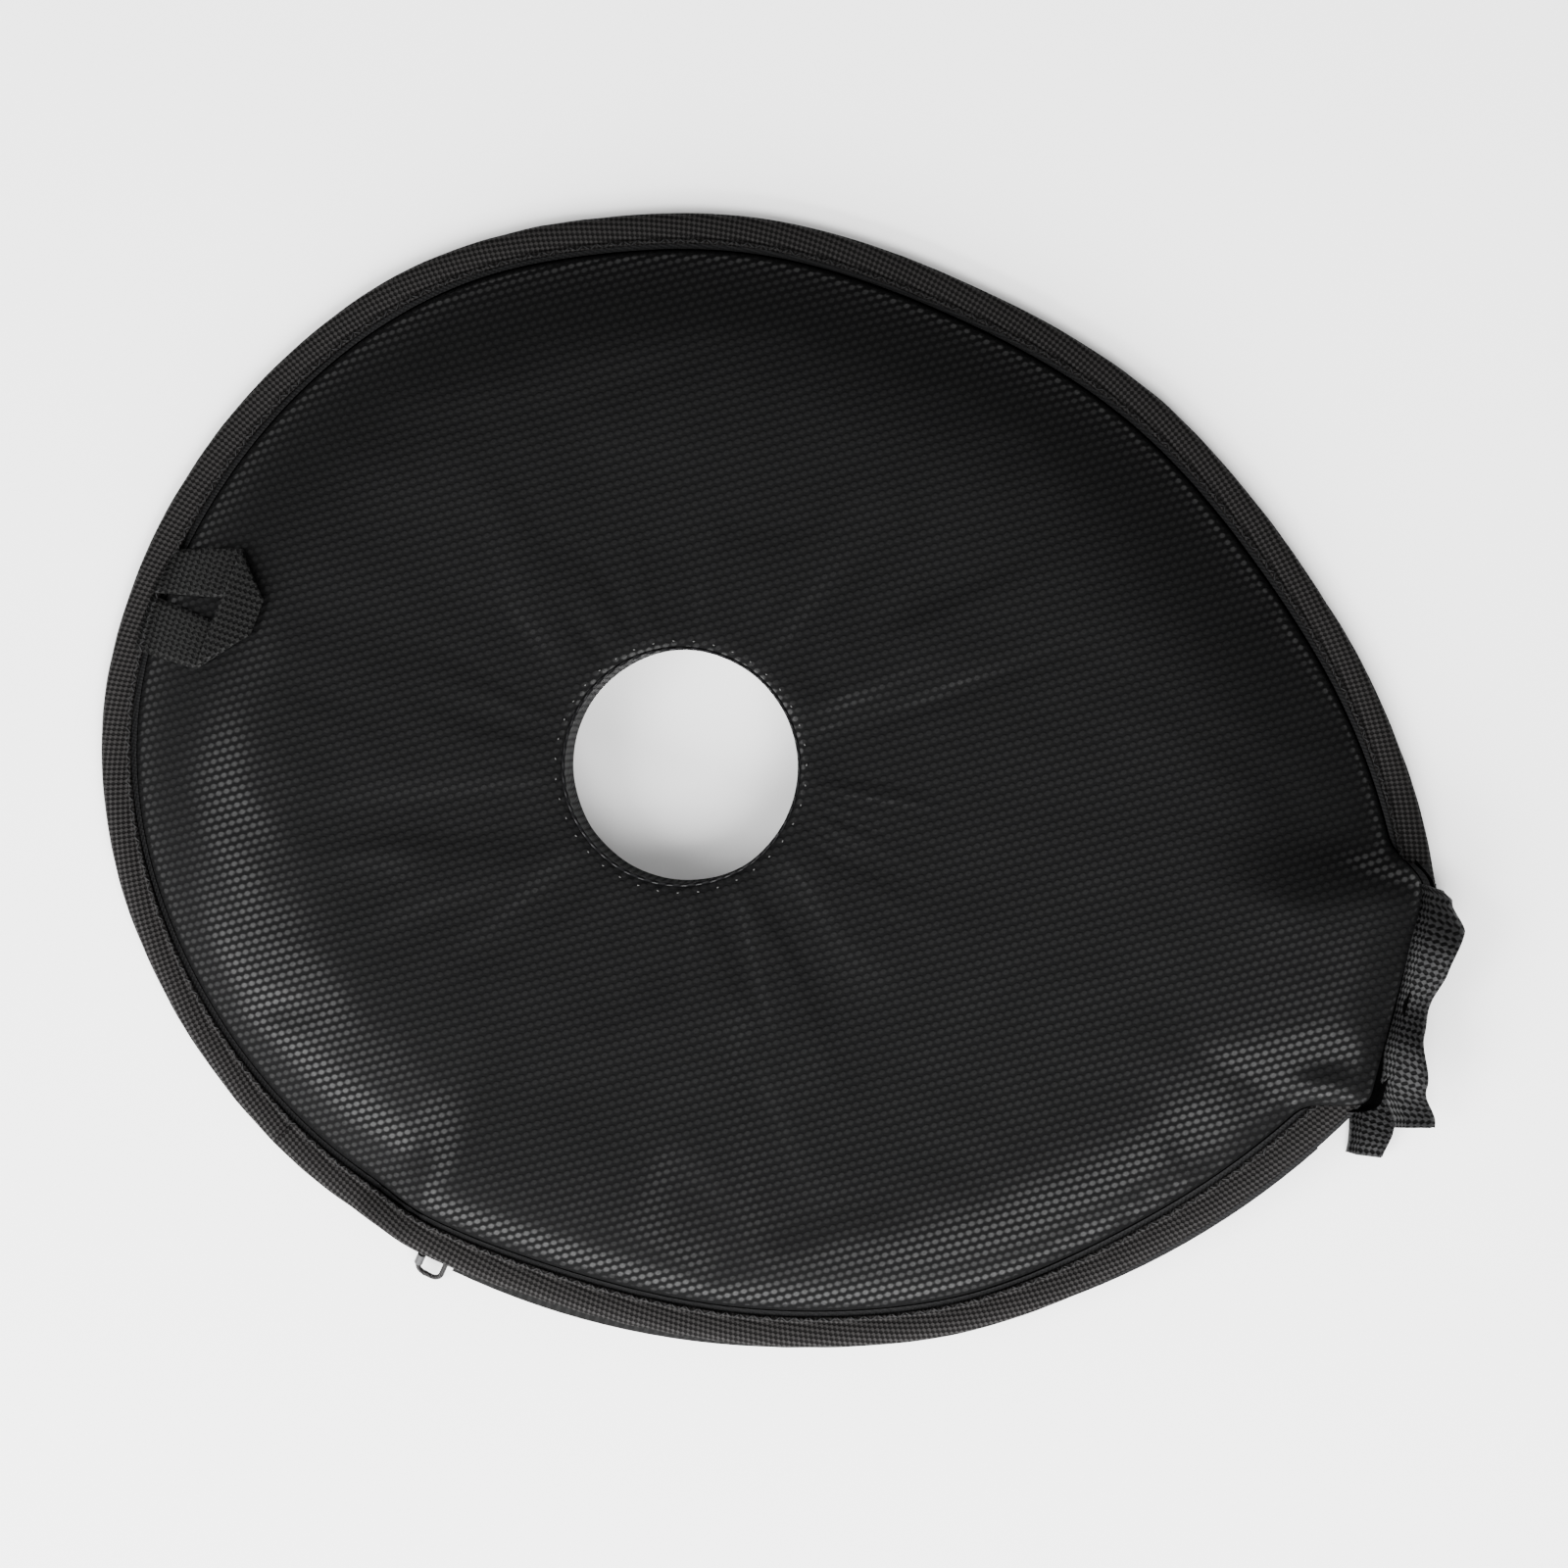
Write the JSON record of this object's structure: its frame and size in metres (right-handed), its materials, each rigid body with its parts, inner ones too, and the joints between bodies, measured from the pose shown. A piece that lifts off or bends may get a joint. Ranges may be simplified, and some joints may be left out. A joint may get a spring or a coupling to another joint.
{
  "type": "padded zip case",
  "caption": "Flat padded teardrop zip case with a round hole through its middle, a hanging webbing loop, webbing-bound open mouth and a coil zip along one side",
  "frame": {"origin": "centre of the through hole, on the surface the back panel rests on", "axes": "+X along the case from the hole to the blunt open mouth, +Z out of the front panel, +Y by the right-hand rule; the zip runs along the -Y side and the hanging loop is at -X"},
  "size_m": [0.3836, 0.3211, 0.026],
  "materials": {
    "oxford_cloth": "black coated basket-weave oxford, slight sheen",
    "foam": "closed-cell foam sheet, dark grey",
    "lining": "thin plain-weave nylon lining, black",
    "binding_tape": "cross-ribbed polyester tape, black",
    "webbing": "woven polypropylene webbing, black",
    "zip_tape": "herringbone zip tape, black",
    "zip_coil": "nylon coil, black",
    "slider_metal": "black painted die-cast zinc",
    "pull_wire": "black coated wire cord"
  },
  "bodies": {
    "root": {"back_cover": "oxford_cloth", "back_padding": "foam", "back_lining": "lining", "hole_sleeve": "oxford_cloth", "front_cover_fixed": "oxford_cloth", "front_padding_fixed": "foam", "front_lining_fixed": "lining", "edge_binding": "binding_tape", "zip_binding_back": "binding_tape", "zip_tape_back": "zip_tape", "zip_coil_back": "zip_coil", "top_stop_back": "slider_metal", "bottom_stop": "slider_metal", "mouth_webbing_back": "webbing"},
    "front_flap": {"front_cover_flap": "oxford_cloth", "front_padding_flap": "foam", "front_lining_flap": "lining", "zip_binding_front": "binding_tape", "zip_tape_front": "zip_tape", "zip_coil_front": "zip_coil", "top_stop_front": "slider_metal", "mouth_webbing_front": "webbing"},
    "slider": {"slider_body": "slider_metal"},
    "pull": {"pull_loop": "pull_wire", "pull_crimp": "pull_wire"},
    "hang_loop": {"hanging_loop": "webbing"}
  },
  "joints": [
    {"name": "flap_fold", "type": "hinge", "parent": "root", "child": "front_flap", "pos_m": [0.10574, -0.04433, 0.0262], "axis": [-0.8121, -0.5835, 0], "range_deg": [0, 50]},
    {"name": "slider_travel", "type": "hinge", "parent": "root", "child": "slider", "pos_m": [0.00945, 0.06598, 0.0089], "axis": [0, 0, 1], "range_deg": [0, 66.5]},
    {"name": "pull_swing", "type": "hinge", "parent": "slider", "child": "pull", "pos_m": [-0.02576, -0.15139, 0.0089], "axis": [-0.9871, 0.1599, 0], "range_deg": [0, 66]},
    {"name": "loop_flip", "type": "hinge", "parent": "root", "child": "hang_loop", "pos_m": [-0.1574, 0.002, 0.0066], "axis": [0, -1, 0], "range_deg": [0, 130]}
  ]
}
